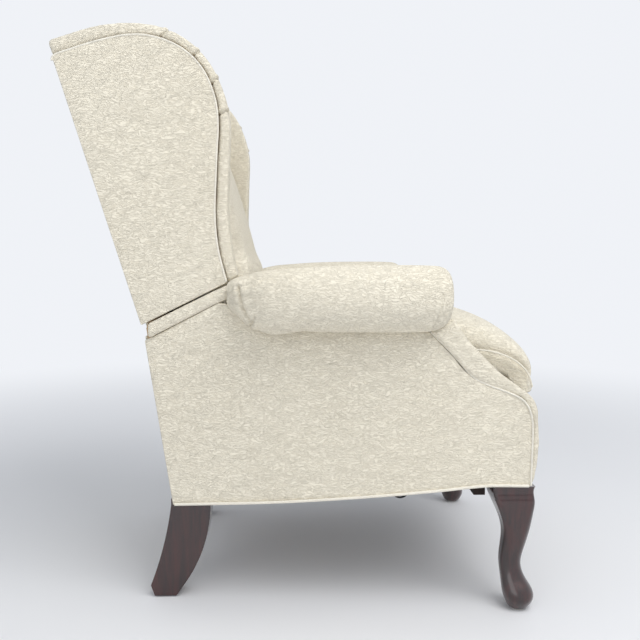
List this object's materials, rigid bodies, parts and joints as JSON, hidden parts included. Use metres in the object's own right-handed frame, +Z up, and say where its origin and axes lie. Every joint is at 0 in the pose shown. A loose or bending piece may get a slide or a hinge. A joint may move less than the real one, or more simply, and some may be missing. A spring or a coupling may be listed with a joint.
{
  "type": "wingback recliner",
  "caption": "Wingback push-back recliner with rolled arms and cabriole front legs: the back leans, the seat glides forward and a padded footrest unfolds.",
  "frame": {"origin": "on the floor, under the middle of the chair's overall box", "axes": "+Z up, the chair faces -Y, +X to the sitter's left"},
  "size_m": [0.7728, 0.9251, 1.0929],
  "materials": {
    "cream_chenille": "cream chenille with a fine wavy crinkle",
    "mahogany": "dark red-brown gloss lacquer",
    "frame_wood": "unfinished hardwood and plywood",
    "webbing": "elastic webbing",
    "dark_steel": "satin black",
    "bright_steel": "zinc plated",
    "nylon": "nylon"
  },
  "bodies": {
    "base": {"side_rails": "frame_wood", "front_cross_rail": "frame_wood", "rear_cross_rail": "frame_wood", "front_leg_right": "mahogany", "front_leg_left": "mahogany", "rear_leg_right": "mahogany", "rear_leg_left": "mahogany", "floor_glides": "nylon", "leg_bolts": "bright_steel", "arm_front_posts": "frame_wood", "arm_rear_posts": "frame_wood", "arm_top_rails": "frame_wood", "arm_outside_panel_right": "cream_chenille", "arm_outside_panel_left": "cream_chenille", "arm_inside_pad_right": "cream_chenille", "arm_inside_pad_left": "cream_chenille", "arm_roll_right": "cream_chenille", "arm_roll_left": "cream_chenille", "arm_front_band_right": "cream_chenille", "arm_front_band_left": "cream_chenille", "arm_rear_bands": "cream_chenille", "base_back_panel": "cream_chenille", "mechanism_base_plates": "dark_steel", "upper_swing_pins": "bright_steel", "spring_anchor_rod": "dark_steel", "back_pivot_bolts": "bright_steel", "hem_welts": "cream_chenille"},
    "back": {"back_stiles": "frame_wood", "back_cross_rails": "frame_wood", "wing_frames": "frame_wood", "wing_cleats": "frame_wood", "wing_outside_panel_right": "cream_chenille", "wing_outside_panel_left": "cream_chenille", "wing_pad_right": "cream_chenille", "wing_pad_left": "cream_chenille", "back_outside_panel": "cream_chenille", "back_cushion": "cream_chenille", "back_webbing": "webbing", "back_hinge_plates": "dark_steel"},
    "seat": {"seat_rails": "frame_wood", "seat_spacers": "frame_wood", "seat_webbing": "webbing", "seat_cushion": "cream_chenille", "seat_side_plates": "dark_steel", "seat_spring_rod": "dark_steel", "seat_pivot_pins": "bright_steel", "return_springs": "dark_steel"},
    "swing_front": {"swing_links_front": "dark_steel"},
    "swing_rear": {"swing_links_rear": "dark_steel"},
    "link_a": {"footrest_links_a": "dark_steel", "footrest_torque_rod": "dark_steel"},
    "link_b": {"footrest_links_b": "dark_steel", "footrest_middle_rod": "dark_steel"},
    "link_c": {"footrest_links_c": "dark_steel", "footrest_board": "frame_wood", "footrest_pad": "cream_chenille"},
    "link_d": {"footrest_links_d": "dark_steel", "footrest_upper_rod": "dark_steel"},
    "drag": {"drag_links": "dark_steel"}
  },
  "joints": [
    {"name": "back_recline", "type": "hinge", "parent": "base", "child": "back", "pos_m": [0, 0.287, 0.539], "axis": [-1, 0, 0], "range_deg": [0, 26]},
    {"name": "swing_front_pivot", "type": "hinge", "parent": "base", "child": "swing_front", "pos_m": [0, -0.215, 0.342], "axis": [-1, 0, 0], "range_deg": [0, 27.4]},
    {"name": "seat_pivot", "type": "hinge", "parent": "swing_front", "child": "seat", "pos_m": [0, -0.19368, 0.25456], "axis": [-1, 0, 0], "range_deg": [-27.4, 0], "deforming": ["return_springs"]},
    {"name": "swing_rear_pivot", "type": "hinge", "parent": "base", "child": "swing_rear", "pos_m": [0, 0.045, 0.342], "axis": [-1, 0, 0], "range_deg": [0, 27.4]},
    {"name": "footrest_root_pivot", "type": "hinge", "parent": "seat", "child": "link_a", "pos_m": [0, -0.3648, 0.256], "axis": [-1, 0, 0], "range_deg": [-79, 0]},
    {"name": "footrest_middle_pivot", "type": "hinge", "parent": "link_a", "child": "link_b", "pos_m": [0, -0.35852, 0.33575], "axis": [-1, 0, 0], "range_deg": [0, 158]},
    {"name": "footrest_upper_pivot", "type": "hinge", "parent": "link_a", "child": "link_c", "pos_m": [0, -0.35225, 0.41551], "axis": [-1, 0, 0], "range_deg": [0, 158]},
    {"name": "footrest_lower_pivot", "type": "hinge", "parent": "link_b", "child": "link_d", "pos_m": [0, -0.3799, 0.25866], "axis": [-1, 0, 0], "range_deg": [-158, 0]},
    {"name": "drag_link_pivot", "type": "hinge", "parent": "seat", "child": "drag", "pos_m": [0, 0.105, 0.418], "axis": [-1, 0, 0], "range_deg": [-8.5, 0]}
  ],
  "couplings": [
    {"joint": "swing_front_pivot", "follows": "back_recline", "ratio": 1.0538},
    {"joint": "seat_pivot", "follows": "back_recline", "ratio": -1.0538},
    {"joint": "swing_rear_pivot", "follows": "back_recline", "ratio": 1.0538},
    {"joint": "footrest_root_pivot", "follows": "back_recline", "ratio": -3.0385},
    {"joint": "footrest_middle_pivot", "follows": "back_recline", "ratio": 6.0769},
    {"joint": "footrest_upper_pivot", "follows": "back_recline", "ratio": 6.0769},
    {"joint": "footrest_lower_pivot", "follows": "back_recline", "ratio": -6.0769},
    {"joint": "drag_link_pivot", "follows": "back_recline", "ratio": -0.327}
  ]
}
